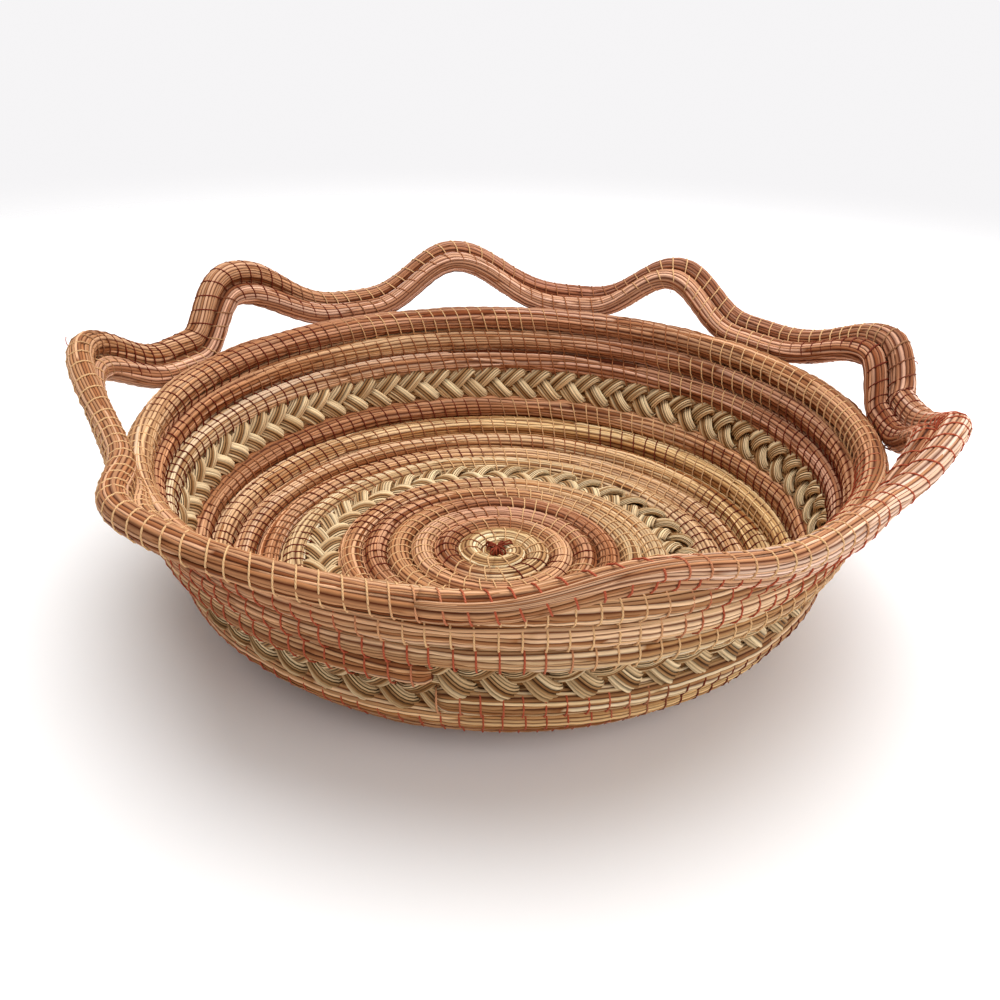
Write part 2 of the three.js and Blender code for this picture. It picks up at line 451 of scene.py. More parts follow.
needle_finish = streaked(
    "pine_needles", along=0.25, across=80, streak=0.5, rough_low=0.38, rough_more=0.3, bump=0.5)
grass_finish = streaked(
    "plaited_grass", along=0.25, across=50, streak=0.36, rough_low=0.36, rough_more=0.28, bump=0.5)
print("straw finishes:", needle_finish.name, grass_finish.name)

# %% Thread
PLY_BUMP = 0.0002  # metres
THREAD_SHINE = 0.1  # specular level
PLY_GROOVE_SHADE = 0.72  # painted shade: lowest tone, in the grooves between the plies
PLY_LIGHTER = 0.28
FUZZ_LIGHTER = 0.24
THREAD_ROUGH = 0.5
FUZZ_ROUGHER = 0.25


def twisted(name, along, across, bump):
    finish = Finish(name)
    dye, lay_map = finish.dye_and_map()
    slant = finish.stretched(lay_map, along, across)
    ply = finish.node("ShaderNodeTexWave", {"bands_direction": "DIAGONAL"}, {
        "Vector": slant, "Scale": 1, "Distortion": 0.6, "Detail": 1}).out("Fac")
    fuzz = finish.node("ShaderNodeTexNoise", None, {"Vector": slant, "Scale": 2, "Detail": 2}).out("Fac")
    return finish.surface({
        # Painted shade darkens the grooves between the plies.
        "Base Color": finish.scaled(dye, PLY_GROOVE_SHADE + ply * PLY_LIGHTER + fuzz * FUZZ_LIGHTER),
        "Roughness": THREAD_ROUGH + fuzz * FUZZ_ROUGHER,
        "Normal": finish.bumped(ply, bump, PLY_BUMP),
        "Specular IOR Level": THREAD_SHINE,
    })


thread_finish = twisted("spotted_thread", along=6, across=2, bump=0.5)
print("thread finish:", thread_finish.name)


# %% [markdown]
# ## Colours of the needles
# Needles are added to the bundle as it grows, a few colours at a time, so the colour drifts along the coil.
# Each mark is a turn and the colour reached there. The colours are written as they are seen, and made
# linear once.

# %% Colours along the coil
def seen(red, green, blue):
    """The linear colour of an sRGB one."""
    share = np.array([red, green, blue]) / 255
    return np.where(share <= 0.04045, share / 12.92, ((share + 0.055) / 1.055) ** 2.4)


STRAW = seen(228, 202, 156)
SAND = seen(212, 181, 138)
PALE_TAN = seen(214, 173, 130)
TAN = seen(202, 153, 112)
GOLDEN = seen(218, 178, 124)
PETAL = seen(224, 181, 150)
BLUSH = seen(212, 161, 129)
ROSE = seen(190, 138, 107)
ROSEWOOD = seen(174, 117, 89)
RUSSET = seen(189, 135, 96)
RED_BROWN = seen(177, 123, 86)

NEEDLE_MARKS = [
    (0, STRAW), (1.5, STRAW), (1.7, SAND), (1.95, SAND),
    (2.1, RED_BROWN), (2.3, RED_BROWN), (2.5, RUSSET), (2.75, TAN),
    (3, RUSSET), (3.2, TAN), (3.5, ROSE), (3.7, RED_BROWN),
    (4, TAN), (4.25, TAN), (4.5, ROSE), (4.75, RED_BROWN),
    (5.2, RED_BROWN), (5.5, TAN), (5.7, SAND),
    (6.1, RUSSET), (6.3, TAN), (6.5, PALE_TAN), (6.75, SAND),
    (8, SAND), (8.5, SAND), (8.7, PALE_TAN),
    (9.2, RUSSET), (9.5, PALE_TAN),
    (10.2, TAN), (10.5, PALE_TAN), (10.7, GOLDEN),
    (11, TAN), (11.3, PALE_TAN), (11.5, GOLDEN), (11.9, GOLDEN),
    (12.1, TAN), (12.3, RED_BROWN), (12.5, RED_BROWN), (12.6, TAN), (12.75, RUSSET), (12.9, SAND),
    (14, TAN), (14.2, SAND), (14.5, BLUSH), (14.75, ROSE), (14.9, SAND),
    (15.1, RUSSET), (15.3, RUSSET), (15.4, PALE_TAN), (15.55, ROSE), (15.75, RED_BROWN), (15.9, PALE_TAN),
    (16.1, RUSSET), (16.2, PALE_TAN), (16.3, RED_BROWN), (16.5, ROSE), (16.65, TAN), (16.75, RED_BROWN),
    (16.9, PALE_TAN),
    (17.1, TAN), (17.3, BLUSH), (17.6, BLUSH), (17.75, ROSE), (17.85, PETAL), (17.95, TAN),
    (18.1, RUSSET), (18.25, TAN), (18.5, ROSEWOOD), (18.7, ROSE), (18.8, PETAL), (18.9, PETAL), (19, TAN),
]


def needle_dye(t):
    at = [mark for mark, _ in NEEDLE_MARKS]
    return np.stack([np.interp(t, at, [dye[c] for _, dye in NEEDLE_MARKS]) for c in range(3)], axis=1)


print(len(NEEDLE_MARKS), "colour marks along the coil")

# %% [markdown]
# ## A straight bundle
# Two dozen needles show round a bundle. A ring is drawn with a corner pulled in between every two needles,
# and drawn out along a line, as one does with a bevel object on a curve. That gives even flutes, which the
# next steps make uneven.

# %% Draw a ring of straws along a line
STRAW_CORNERS = 3  # corners of a ring to each straw, the first of them pulled in
CORNER_WAY = np.array([0, -1, 1])  # which way each of these moves to make the straw flatter


def only(piece):
    bpy.ops.object.select_all(action="DESELECT")
    piece.select_set(True)
    bpy.context.view_layer.objects.active = piece


def straw_ring(straws, half_wide, half_thick, dent):
    bpy.ops.object.select_all(action="DESELECT")
    bpy.ops.mesh.primitive_circle_add(vertices=straws * STRAW_CORNERS, radius=1, fill_type="NOTHING")
    ring = bpy.context.object
    bpy.ops.object.mode_set(mode="EDIT")
    bpy.ops.mesh.select_all(action="DESELECT")
    bpy.ops.object.mode_set(mode="OBJECT")
    for corner in list(ring.data.vertices)[::STRAW_CORNERS]:
        corner.select = True
    bpy.ops.object.mode_set(mode="EDIT")
    bpy.ops.transform.resize(value=(1 - dent, 1 - dent, 1), center_override=(0, 0, 0))
    bpy.ops.mesh.select_all(action="SELECT")
    bpy.ops.transform.resize(value=(half_wide, half_thick, 1), center_override=(0, 0, 0))
    bpy.ops.object.mode_set(mode="OBJECT")
    bpy.ops.object.convert(target="CURVE")
    return bpy.context.object


def drawn_line(name, points):
    line = bpy.data.curves.new(name, "CURVE")
    line.dimensions = "3D"
    spline = line.splines.new("POLY")
    spline.points.add(len(points) - 1)
    spline.points.foreach_set("co", np.c_[points, np.ones(len(points))].ravel())
    piece = bpy.data.objects.new(name, line)
    bpy.context.scene.collection.objects.link(piece)
    return piece


def straight_bundle(name, ring, length, stations):
    x = np.linspace(0, length, stations + 1)
    piece = drawn_line(name, np.c_[x, 0 * x, 0 * x])
    piece.data.bevel_mode = "OBJECT"
    piece.data.bevel_object = ring
    only(piece)
    bpy.ops.object.convert(target="MESH")
    bpy.data.objects.remove(ring)
    return piece


def bench_points(piece):
    points = np.empty(len(piece.data.vertices) * 3)
    piece.data.vertices.foreach_get("co", points)
    return points.reshape(-1, 3)


# %% [markdown]
# ## Pressing, dyeing and mapping
# A finished piece is pressed to the floor where it stands on it, gets its dye and its two UV maps, and has
# its ends closed. `lay` is the map that the finishes read. The second map holds the same skin cut into
# strips side by side, so that a texture has room for it.

# %% Press, dye and close a laid piece
FLOOR_SOFT = 0.8  # mm above the floor in which needles and thread press flat


def settle(piece, points):
    low = points[:, 2] < FLOOR_SOFT
    points[low, 2] = FLOOR_SOFT * np.exp(points[low, 2] / FLOOR_SOFT - 1)
    piece.data.vertices.foreach_set("co", (points * MM).ravel())
    piece.data.update()


def dye_piece(piece, colours):
    layer = piece.data.attributes.new("dye", "FLOAT_COLOR", "POINT")
    layer.data.foreach_set("color", np.c_[colours, np.ones(len(colours))].ravel())


def close_ends(piece):
    only(piece)
    bpy.ops.object.mode_set(mode="EDIT")
    bpy.ops.mesh.select_all(action="SELECT")
    bpy.ops.mesh.fill_holes(sides=0)
    bpy.ops.object.mode_set(mode="OBJECT")


# %% Map the skin
LAY_UNIT = 10  # mm along a bundle to one unit of the lay map
STRIP_EDGE = 0.02  # share of a strip's width that is left free at each edge
STRIP_END = 0.002  # share of its length that is left free at each end


def map_skin(piece, sides, rings, length, girth, share=(0, 1)):
    """UV maps of a tube drawn ring by ring. In a joined piece, this tube has its share of the columns."""
    corner = np.empty(len(piece.data.loops), int)
    piece.data.loops.foreach_get("vertex_index", corner)
    ring, side = np.divmod(corner, sides)
    side = side.reshape(-1, 4)
    seam = side.max(axis=1) - side.min(axis=1) > sides / 2
    side[seam] = np.where(side[seam] == 0, sides, side[seam])
    side = side.ravel()
    tube, tubes = share
    strips = max(int(math.sqrt(length / girth / tubes)), 1)
    per_strip = math.ceil((rings - 1) / strips)
    first = ring.reshape(-1, 4).min(axis=1).repeat(4)
    strip = first // per_strip
    cut = (ring - strip * per_strip) / per_strip
    lay_map = piece.data.uv_layers[0]
    lay_map.name = "lay"
    lay_uv = np.c_[ring / (rings - 1) * length / LAY_UNIT, side / sides + tube]
    lay_map.uv.foreach_set("vector", lay_uv.ravel())
    strip_map = piece.data.uv_layers.new(name="OFBake")
    column = (tube * strips + strip + STRIP_EDGE + (1 - 2 * STRIP_EDGE) * side / sides) / (strips * tubes)
    row = STRIP_END + (1 - 2 * STRIP_END) * cut
    strip_map.uv.foreach_set("vector", np.c_[column, row].ravel())
    piece.data.uv_layers.active = piece.data.uv_layers["lay"]


def dress(piece, finish, node=None):
    only(piece)
    bpy.ops.object.shade_smooth()
    piece.data.materials.clear()
    piece.data.materials.append(finish)
    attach(piece, "root")
    if node:
        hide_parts(node)
    print(piece.name, "has", len(piece.data.polygons), "faces")


# %% [markdown]
# ## Needles in the bundle
# No needle runs the whole way: each one ends after a hand's width or so, dips under its neighbours and
# another takes its place. They sway, ride high or low and differ in shade. One long bundle is imagined for
# the whole basket and each piece is cut from it, so that pieces which join in the real basket match where
# they meet.

# %% One long run of needles
NEEDLES = 24
BUNDLE_HALF = 4.45  # mm, half a bundle's thickness before it is pressed
NEEDLE_DENT = 0.07  # share by which the corner between two needles is pulled in
NEEDLE_LONG = (45, 150)  # mm, the shortest and the longest
RUN_LENGTH = 11000
RUN_NEEDLES = RUN_LENGTH // 60  # needles in line, more than enough to fill the run
RISE_STEP = 14  # mm after which a needle has a new height
SWAY_STEP = 22  # mm after which it has a new place round the bundle
NEEDLE_RISE = 0.17  # mm
NEEDLE_SWAY = 0.4  # of a needle's width
NEEDLE_SHADE = 0.27  # how far the needles differ in tone
NEEDLE_WARMTH = 0.03  # and in warmth
DARK_NEEDLES = 1 / 12  # share of the needles that are dark
DARK_TONE = 0.6
DIP_DEEP = 0.3  # mm by which the end of a needle dips
DIP_LONG = 2  # mm over which it does
DIP_SHADE = 0.3  # painted shade: share of its tone that it loses there, where it dips under its neighbours
chance = np.random.default_rng(41)


def needle_run():
    ends = np.cumsum(chance.uniform(*NEEDLE_LONG, (NEEDLES, RUN_NEEDLES)), axis=1)
    shades = np.exp(NEEDLE_SHADE * chance.normal(size=ends.shape))
    shades[chance.uniform(size=ends.shape) < DARK_NEEDLES] *= DARK_TONE
    warmth = NEEDLE_WARMTH * chance.normal(size=ends.shape)
    rise = chance.normal(size=(NEEDLES, RUN_LENGTH // RISE_STEP))
    sway = chance.normal(size=(NEEDLES, RUN_LENGTH // SWAY_STEP))
    return SimpleNamespace(ends=ends, shades=shades, warmth=warmth, rise=rise, sway=sway)


def needles_at(run, along):
    """Rise, sway, shade and warmth of every needle at stations along the run."""
    rise = np.empty((len(along), NEEDLES))
    sway = np.empty_like(rise)
    shade = np.empty_like(rise)
    warmth = np.empty_like(rise)
    for k in range(NEEDLES):
        which = np.searchsorted(run.ends[k], along)
        nearest = np.minimum(run.ends[k][which] - along, along - np.r_[0, run.ends[k]][which])
        dip = np.exp(-(nearest / DIP_LONG) ** 2)
        height = np.interp(along / RISE_STEP, np.arange(run.rise.shape[1]), run.rise[k])
        place = np.interp(along / SWAY_STEP, np.arange(run.sway.shape[1]), run.sway[k])
        rise[:, k] = NEEDLE_RISE * height - DIP_DEEP * dip
        sway[:, k] = NEEDLE_SWAY * place
        # Where its end dips under its neighbours, a needle is darkened, as painted shade.
        shade[:, k] = run.shades[k][which] * (1 - DIP_SHADE * dip)
        warmth[:, k] = run.warmth[k][which]
    return rise, sway, shade, warmth


run = needle_run()
print(NEEDLES, "needles abreast,", RUN_LENGTH, "mm long")

# %% [markdown]
# ## Stitches along a course
# The thread goes round the bundle and through the edge of the turn before, down the inside and up the
# outside, and moves on a stitch with each round. So it is one long winding. The places where a round begins
# are worked out first, because the needles are pinched under the thread. The thin end of the rim is sewn
# down with the coil below it, by the rounds of that coil.

# %% Where the thread goes round
STITCH = {  # mm from stitch to stitch
    "coil_start": 5, "centre_coil": 5.6, "base_coil": 5.3, "floor_edge_coil": 5.2, "wall_foot_coil": 5.8,
    "upper_wall_coil": 5.9, "rim_lower_coil": 6, "rim_upper_coil": 5.9,
}
SLANT = 0.3  # share of a stitch by which the thread is ahead on the inside
STITCH_STRAY = 0.35  # mm that a stitch is commonly off its even place
STRAY_MOST = 2  # times that, at most


def stitch_places(node):
    course = COURSES[node]
    last = course.length
    if node == "rim_upper_coil":
        last = np.interp(RIM_FROM + 1 + RIM_ENDS, course.t, course.along)
    count = round(last / STITCH[node])
    places = np.linspace(0, last, count + 1)
    places[1:-1] += STITCH_STRAY * chance.normal(size=count - 1).clip(-STRAY_MOST, STRAY_MOST)
    return places


PLACES = {node: stitch_places(node) for node in STITCH}


def off_thread(x, turn_share, places):
    """How far a point on the bundle is from the thread, in mm along the bundle."""
    ahead = SLANT * np.sin(math.pi * turn_share) ** 2
    rounds = np.interp(x, places, np.arange(len(places))) - turn_share - ahead
    return np.abs(rounds - np.round(rounds)) * (places[-1] / (len(places) - 1))


print("stitches:", {node: len(places) - 1 for node, places in PLACES.items()})

# %% [markdown]
# ## One needle coil
# The even bundle is made uneven by the run of needles, pinched under the thread, and pressed wide enough to
# touch its neighbours. A darker needle is also redder, and a lighter one paler, so a tone is raised to
# another power in each channel.

# %% Tone and ends of a needle coil
DEEPEN = np.array([1, 1.6, 2.15])  # powers of red, green and blue for a darker needle
PALER = np.array([1, 1.3, 1.75])  # and for a lighter one
LIGHTEST = 1.3  # highest tone of a light needle or blade
BOUND_OVER = 3  # mm over which an end that is bound off is rounded
BOUND_SIZE = 0.6  # share of its thickness that it keeps
BOUND_TIP = 0.02  # share of the rounding at which it stops, with a small flat end


def toned(dye, light, deepen, pale):
    darker = np.minimum(light, 1)[:, :, None] ** deepen
    paler = np.clip(light, 1, LIGHTEST)[:, :, None] ** pale
    return (dye * darker * paler).clip(0, 1)


def bound_off(x, length, bound_start, bound_end):
    """Share of its thickness that a bundle has along it. An end is bound off, 1, or goes on, 0."""
    from_start = x / BOUND_OVER + (1 - bound_start)
    from_end = (length - x) / BOUND_OVER + (1 - bound_end)
    inside = np.clip(np.minimum(from_start, from_end), BOUND_TIP, 1)
    return BOUND_SIZE + (1 - BOUND_SIZE) * np.sqrt(inside)


# %% Make a needle coil
STATION = 1.75  # mm from ring to ring
NEEDLE_GROOVE_SHADE = 0.15  # painted shade: tone in the groove between two needles
NEEDLE_FLAT = 0.11  # of a needle's width, by which its two corners lie nearer the grooves
PINCH = 0.045  # share of its thickness that a bundle loses under the thread
PINCH_WIDE = 1.1  # mm
PRESS = 0.5  # mm by which neighbouring bundles press into each other
WARMER = np.array([1, 0, -1.4])  # a warm needle has more red and less blue


def needle_coil(name, node, run_from, bound_start, bound_end):
    course = COURSES[node]
    stations = round(course.length / STATION)
    ring = straw_ring(NEEDLES, BUNDLE_HALF, BUNDLE_HALF, NEEDLE_DENT)
    piece = straight_bundle(name, ring, course.length, stations)
    sides = NEEDLES * STRAW_CORNERS
    bench = bench_points(piece).reshape(stations + 1, sides, 3)
    x = bench[:, :, 0]
    angle = np.arctan2(bench[:, :, 2], bench[:, :, 1])
    size = np.hypot(bench[:, :, 1], bench[:, :, 2])
    rise, sway, shade, warmth = needles_at(run, run_from + x[:, 0])
    own, corner = np.divmod(np.arange(sides), STRAW_CORNERS)
    groove = corner == 0
    beside = np.where(groove, (own - 1) % NEEDLES, own)
    size = size + (rise[:, own] + rise[:, beside]) / 2
    moved = (sway[:, own] + sway[:, beside]) / 2 + NEEDLE_FLAT * CORNER_WAY[corner]
    angle = angle + moved * 2 * math.pi / NEEDLES
    turn_share = np.mod(angle / (2 * math.pi), 1)
    pinched = 1 - PINCH * np.exp(-(off_thread(x, turn_share, PLACES[node]) / PINCH_WIDE) ** 2)
    ends = bound_off(x, course.length, bound_start, bound_end)
    size = size * pinched * value_at(course, "thick", x) * ends
    next_side = np.cos(angle) > 0
    spread = np.where(next_side, value_at(course, "room_next", x), value_at(course, "room_last", x))
    wide = (COIL_D + spread + PRESS) / (2 * BUNDLE_HALF)
    bench = np.stack([x, size * wide * np.cos(angle), size * np.sin(angle)], axis=2)
    settle(piece, lay(bench.reshape(-1, 3), course))
    dye = needle_dye(value_at(course, "t", x[:, 0]))[:, None, :]
    # The grooves between the needles are darkened here, as painted shade.
    light = (shade[:, own] + shade[:, beside]) / 2 * np.where(groove, NEEDLE_GROOVE_SHADE, 1)
    tint = 1 + warmth[:, own][:, :, None] * WARMER
    dye_piece(piece, (toned(dye, light, DEEPEN, PALER) * tint).clip(0, 1).reshape(-1, 3))
    map_skin(piece, sides, stations + 1, course.length, 2 * math.pi * BUNDLE_HALF)
    close_ends(piece)
    dress(piece, needle_finish, node)
    return run_from + course.length


# %% [markdown]
# ## The needle coils
# The bundle is bound off where a braid takes a turn, and its ends there are rounded, as the very first and
# the very last one are. Elsewhere one piece goes on where the last one ended.

# %% Lay the needle coils
NEEDLE_COILS = [  # piece, solid, slot, and 1 for each end that is bound off
    ("start_curl", "coil_start", "needles_straw", 1, 0),
    ("centre_needles", "centre_coil", "needles_straw", 0, 0),
    ("base_needles", "base_coil", "needles_russet", 0, 1),
    ("floor_edge_needles", "floor_edge_coil", "needles_tan", 1, 0),
    ("wall_foot_needles", "wall_foot_coil", "needles_golden", 0, 1),
    ("upper_wall_needles", "upper_wall_coil", "needles_brown", 1, 0),
    ("rim_lower_needles", "rim_lower_coil", "needles_russet", 0, 0),
    ("rim_upper_needles", "rim_upper_coil", "needles_tan", 0, 1),
]
run_at = 0
for name, node, slot, bound_start, bound_end in NEEDLE_COILS:
    run_at = needle_coil(name, node, run_at, bound_start, bound_end)
print("needles run", round(run_at), "mm")

# %% [markdown]
# ## The thread
# The thread is spotted: it was dyed in stretches, so a run of stitches is cream and the next one dark red.
# That dark red is RUST where it is seen from outside at the front, and the darker OXBLOOD elsewhere, partly
# as painted shade.
# It could be many small loops, but one winding to each piece, as a curve with a round bevel, joins every
# stitch to the next as the real one does.

# %% Colours of the thread
CREAM = seen(226, 182, 132)
BROWN = seen(160, 100, 64)
RUST = seen(178, 84, 56)
OXBLOOD = seen(112, 44, 26)
FADE = 0.04  # turns over which one colour fades to the other
# Dark red stitches away from the front are OXBLOOD, darker than the RUST ones at the front, partly as painted
# shade.
SPOTS = [  # the turns between which the thread isn't cream
    (BROWN, [
        (0.2, 0.5), (1.2, 1.45), (2.45, 2.56), (3.38, 3.48), (4.39, 4.48), (4.6, 4.77),
        (8.27, 8.42), (9.2, 9.28), (10.3, 10.56), (11.37, 11.47), (12.24, 12.3),
        (14.37, 14.58), (15.31, 15.58), (16.5, 16.6), (17.4, 17.55), (18.47, 18.55)]),
    (OXBLOOD, [
        (1.77, 1.95), (2.13, 2.4), (2.75, 2.84), (3.7, 3.77), (5.15, 5.4), (6.24, 6.5),
        (8.18, 8.27), (8.65, 8.8), (9.28, 9.47), (9.64, 9.8), (10.16, 10.3), (10.64, 10.8),
        (11.16, 11.37), (11.53, 11.62), (11.72, 11.92), (12.16, 12.24), (12.3, 12.48), (12.61, 12.92),
        (14.14, 14.37), (14.65, 14.8), (15.14, 15.31), (15.66, 15.8), (16.22, 16.38),
        (17.23, 17.27), (17.31, 17.4), (17.64, 17.78), (18.22, 18.37), (18.7, 18.76)]),
    (RUST, [
        (8.8, 9.14), (9.8, 10.16), (10.8, 11.16), (11.92, 12.16), (12.92, 13),
        (14, 14.14), (14.95, 15.14), (15.8, 15.92), (16.02, 16.1), (16.76, 16.92),
        (17.78, 18), (18.76, 18.86), (18.92, 19)]),
]


def thread_dye(t):
    colours = np.tile(CREAM, (len(t), 1))
    for dye, stretches in SPOTS:
        for first, last in stretches:
            share = smooth((t - first) / FADE + 0.5) * smooth((last - t) / FADE + 0.5)
            colours += (dye - colours) * share[:, None]
    return colours


print(sum(len(stretches) for _, stretches in SPOTS), "coloured stretches of thread")

# %% Wind the thread
THREAD_D = 0.56
THREAD_SIDES = 6
ROUND_POINTS = 12  # points of the winding to each stitch
CATCH = 1.0  # mm that a stitch bites into the turn before
SEAT = 0.25  # mm from the pinched needles to the middle of the thread
SEAT_NEXT = 0.2  # mm more toward the next turn


def thread_piece(name, points, dye, thick, course=None):
    piece = drawn_line(name, points)
    piece.data.bevel_depth = thick / 2
    piece.data.bevel_resolution = THREAD_SIDES // 2 - 2
    only(piece)
    bpy.ops.object.convert(target="MESH")
    skin = bench_points(piece)
    settle(piece, lay(skin, course) if course else skin)
    dye_piece(piece, np.repeat(dye, THREAD_SIDES, axis=0))
    length = float(np.linalg.norm(np.diff(points, axis=0), axis=1).sum())
    map_skin(piece, THREAD_SIDES, len(points), length, math.pi * thick)
    close_ends(piece)
    dress(piece, thread_finish)


def winding(name, node):
    course = COURSES[node]
    places = PLACES[node]
    rounds = np.linspace(0, len(places) - 1, ROUND_POINTS * (len(places) - 1) + 1)
    ahead = SLANT * np.sin(math.pi * rounds) ** 2
    x = np.interp(rounds + ahead, np.arange(len(places)), places)
    angle = 2 * math.pi * rounds
    thick = value_at(course, "thick", x)
    sewn = 1 - value_at(course, "free", x)
    catch = sewn * (CATCH + value_at(course, "room_last", x))
    tight = BUNDLE_HALF * (1 - PINCH) + SEAT
    over = SEAT_NEXT + value_at(course, "sewn_on", x)
    y = np.cos(angle) * thick * (tight + np.where(np.cos(angle) < 0, catch, over))
    z = np.sin(angle) * thick * tight
    dye = thread_dye(value_at(course, "t", x))
    thread_piece(name, np.c_[x, y, z], dye, THREAD_D, course)


for node in STITCH:
    winding(node.replace("_coil", "") + "_stitches", node)
print(sum(len(places) - 1 for places in PLACES.values()), "stitches in all")

# %% [markdown]
# ## The first stitches
# The first curl is too tight for the winding alone. It was sewn through the middle, out over the curl and
# back several times, so a knot of dark thread lies there with a few arms.

# %% Sew the first curl
STAR = [(37, 7.4), (56, 5), (138, 5.8), (168, 4.4), (240, 4.8), (272, 4), (302, 5.2)]  # degrees and mm
ARM_THREADS = (-0.6, 0.6)  # mm to each side of the middle of an arm
ARM_SHORTER = 0.5  # mm that a thread is shorter for each mm to the side
ARM_OPENS = 2  # mm out at which the threads of an arm are fully apart
ARM_RISES = [(0.2, 1.6), (0.9, 0)]  # mm out from the middle, and below the top
ARM_DROPS = [(-1.2, 0), (-0.3, 0.7), (0, 2.2)]  # mm out from the end, and below the top
STAR_TOP = 8.9  # mm above the floor
STAR_UNEVEN = 0.35  # mm by which the top is higher or lower
STAR_RUST = 0.6  # most rust in the dark red
STAR_THREAD = 0.75


def star():
    points = []
    for degrees, far in STAR:
        way = np.array([math.cos(math.radians(degrees)), math.sin(math.radians(degrees)), 0])
        side = np.array([-way[1], way[0], 0])
        for offset in ARM_THREADS:
            end = far - ARM_SHORTER * abs(offset)
            # Any angle will do in this sine: it only makes the arms uneven.
            top = STAR_TOP + STAR_UNEVEN * math.sin(degrees + 3 * offset)
            for out, drop in ARM_RISES + [(end + back, drop) for back, drop in ARM_DROPS]:
                apart = side * offset * min(out / ARM_OPENS, 1)
                points.append(way * out + apart + np.array([0, 0, top - drop]))
    dye = OXBLOOD + (RUST - OXBLOOD) * chance.uniform(0, STAR_RUST, (len(points), 1))
    thread_piece("first_stitches", np.array(points), dye, STAR_THREAD)


star()

# %% [markdown]
# ## Loose ends
# Where a thread was used up its end was left standing, and near the start of the upper rim coil one lies
# along the groove.

# %% Leave the ends
LOOSE_ENDS = [  # coil, turn, side of the bundle in degrees and length in mm
    ("rim_upper_coil", 18.71, 20, 4), ("rim_upper_coil", 18.215, -40, 3.5), ("rim_lower_coil", 17.57, 210, 3),
    ("floor_edge_coil", 10.85, -95, 4),
]
LOOSE_D = 0.3
LOOSE_POINTS = 6
LOOSE_ROOT = 0.4  # mm below the skin at which an end starts
LOOSE_OUT = 0.7  # share of its length by which it stands out
LOOSE_ALONG = 0.6  # and by which it leans along the coil
LOOSE_CURL = 0.25  # radians by which it curls round the bundle
TAIL = (21, 34)  # mm along the upper rim coil
TAIL_POINTS = 14
TAIL_SIDE = -4.3  # mm toward the next turn
TAIL_IN = -3.4  # mm in to the bowl
TAIL_SWAY = (0.25, 0.2)  # mm, in these two directions
TAIL_D = 1.5 * THREAD_D


def loose_end(name, node, t, degrees, far):
    course = COURSES[node]
    start = np.interp(t, course.t, course.along)
    grown = np.linspace(0, 1, LOOSE_POINTS)
    out = BUNDLE_HALF * np.interp(t, course.t, course.thick) - LOOSE_ROOT + LOOSE_OUT * far * grown
    angle = math.radians(degrees) + LOOSE_CURL * grown ** 2
    points = np.c_[start + LOOSE_ALONG * far * grown ** 2, out * np.cos(angle), out * np.sin(angle)]
    thread_piece(name, points, np.tile(RUST, (LOOSE_POINTS, 1)), LOOSE_D, course)


def thread_tail():
    x = np.linspace(*TAIL, TAIL_POINTS)
    points = np.c_[x, TAIL_SIDE + TAIL_SWAY[0] * np.sin(x), TAIL_IN + TAIL_SWAY[1] * np.cos(2 * x)]
    dye = np.tile(CREAM, (TAIL_POINTS, 1))
    thread_piece("thread_tail", points, dye, TAIL_D, COURSES["rim_upper_coil"])


for k, end in enumerate(LOOSE_ENDS):
    loose_end("loose_end" + str(k), *end)
thread_tail()

# %% [markdown]
# ## The braids
# Each braid has three strands of flat grass. A strand runs slantwise from edge to edge, over and under the
# others, and turns back under the edge of the next coil, where it rolls a little. A strand is a bundle as
# well, so it is made the same way, laid along its own swinging course on the bench, and then along the
# turn.

# %% The course of a strand
SWING = 7.2  # mm to each side, so that a strand turns back under the coils
STRAIGHT = 0.98  # below 1, how nearly a strand runs straight from edge to edge
PASS = 2.1  # mm over and under
ROLL = math.radians(25)
PLAIT_POINTS = 60  # points of a strand's course to each plait
UP = np.array([0, 0, 1.0])


def strand_course(length, plaits, phase):
    x = np.linspace(0, length, plaits * PLAIT_POINTS)
    swing = 2 * math.pi * plaits * x / length + phase
    zigzag = np.arcsin(STRAIGHT * np.sin(swing)) / math.asin(STRAIGHT)
    spine = np.c_[x, SWING * zigzag, PASS * np.sin(2 * swing)]
    travel = unit(np.gradient(spine, axis=0))
    side = unit(np.cross(UP, travel))
    over = np.cross(travel, side)
    roll = (ROLL * np.sin(swing))[:, None]
    toward = side * np.cos(roll) - over * np.sin(roll)
    inward = over * np.cos(roll) + side * np.sin(roll)
    return course_through(x, spine, toward, inward)


def straight_course(length):
    x = np.array([0, length])
    along, toward, inward = np.eye(3)
    return course_through(x, np.outer(x, along), np.array([toward, toward]), np.array([inward, inward]))


# %% [markdown]
# ## A bundle of grass
# A strand is flat, with blades that rise, fall and differ in shade along it. Its edges lie in shade, and so
# do the grooves between the blades. Some stretches of a blade are drier than the rest. Both ends of a braid
# are drawn together.

# %% Sizes and colours of the grass
BLADES = 16
BLADE_DENT = 0.33  # share by which the corner between two blades is pulled in
BLADE_RISE = 0.12  # of the strand's size
BLADE_SHADE = 0.15  # how far the blades differ in tone
BLADE_GROOVE_SHADE = 0.03  # painted shade: tone in the groove between two blades
BLADE_FLAT = 0.04  # of a blade's width, by which its two corners lie nearer the grooves
BLADE_KNOT = 17  # mm after which a blade has a new height and shade
STRAND_EDGE_SHADE = 0.3  # painted shade: tone at the edges of a strand
EDGE_SHARP = 14  # the higher, the narrower that edge
OVAL_GIRTH = 0.8  # girth of a flat strand, compared with a round one as wide
GATHER = 0.55  # share of its width that a braid has at its ends
GATHER_OVER = 12  # mm
GRASS = seen(235, 208, 165)
GRASS_DRY = seen(219, 186, 141)
DRY_SHARE = 0.45  # how dry a blade commonly is, where it is dry at all
GRASS_DEEPEN = np.array([1, 1.42, 1.9])  # powers for a darker blade
GRASS_PALER = np.ones(3)  # a lighter blade keeps its hue
